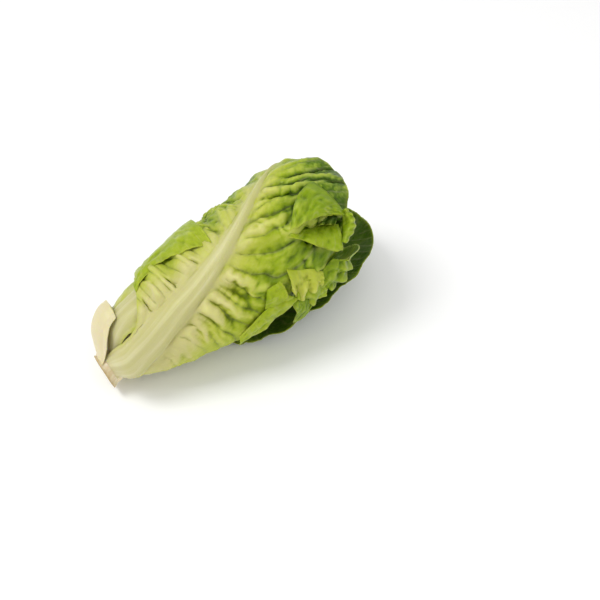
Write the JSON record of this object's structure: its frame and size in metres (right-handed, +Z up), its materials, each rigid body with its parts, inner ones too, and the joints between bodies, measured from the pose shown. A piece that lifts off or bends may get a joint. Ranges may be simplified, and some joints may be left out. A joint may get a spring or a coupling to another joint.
{
  "type": "romaine heart",
  "caption": "A trimmed romaine heart lying on its side: a short cut stem, a few broad ribbed outer leaves wrapped round it and nine crinkled inner leaves, each a piece of its own.",
  "frame": {"origin": "middle of the head's footprint on the surface it lies on", "axes": "+Z up from the surface; +X from the cut stem to the leaf tips, seen from above; +Y to the left of +X"},
  "size_m": [0.2014, 0.0916, 0.0985],
  "materials": {
    "outer_leaf": "satin, softly translucent, with a pale rib",
    "inner_leaf": "satin, softly translucent, pale yellow-green",
    "stem_tissue": "moist cream flesh with a browned cut"
  },
  "bodies": {
    "root": {"stem": "stem_tissue", "leaf_under": "outer_leaf", "leaf_top": "outer_leaf", "leaf_back": "outer_leaf", "leaf_left": "outer_leaf", "leaf_stub": "outer_leaf", "leaf_inner_1": "inner_leaf", "leaf_inner_3": "inner_leaf", "leaf_inner_4": "inner_leaf", "leaf_inner_5": "inner_leaf", "leaf_inner_6": "inner_leaf", "leaf_inner_7": "inner_leaf", "leaf_inner_8": "inner_leaf", "leaf_inner_9": "inner_leaf", "leaf_inner_10": "inner_leaf"}
  },
  "joints": []
}
